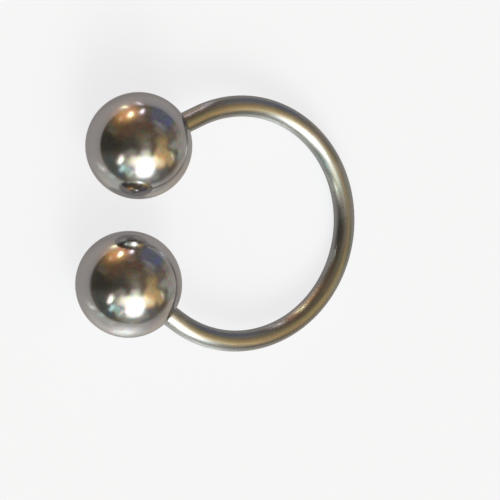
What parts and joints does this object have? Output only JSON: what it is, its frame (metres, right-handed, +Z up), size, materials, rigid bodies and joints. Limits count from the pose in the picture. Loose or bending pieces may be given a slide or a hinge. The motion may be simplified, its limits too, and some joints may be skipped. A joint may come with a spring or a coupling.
{
  "type": "septum ring",
  "caption": "Horseshoe-shaped septum ring: a bar of round polished steel wire bent to an open circle, with a plain ball screwed on each threaded end.",
  "frame": {"origin": "on the surface that the ring lies on, under the middle of the whole ring", "axes": "+X from the two balls to the far end of the bend, +Y to the left ball, +Z up from the surface"},
  "size_m": [0.0168, 0.0146, 0.006],
  "materials": {
    "wire_steel": "polished",
    "ball_steel": "polished"
  },
  "bodies": {
    "bar": {"horseshoe_bar": "wire_steel"},
    "left_ball": {"left_ball": "ball_steel"},
    "right_ball": {"right_ball": "ball_steel"}
  },
  "joints": [
    {"name": "left_ball_unscrew", "type": "slide", "parent": "bar", "child": "left_ball", "axis": [-0.8701, -0.4667, 0.1584], "range_m": [0, 0.0016]},
    {"name": "right_ball_unscrew", "type": "slide", "parent": "bar", "child": "right_ball", "axis": [-0.8398, 0.521, 0.1529], "range_m": [0, 0.0016]}
  ]
}
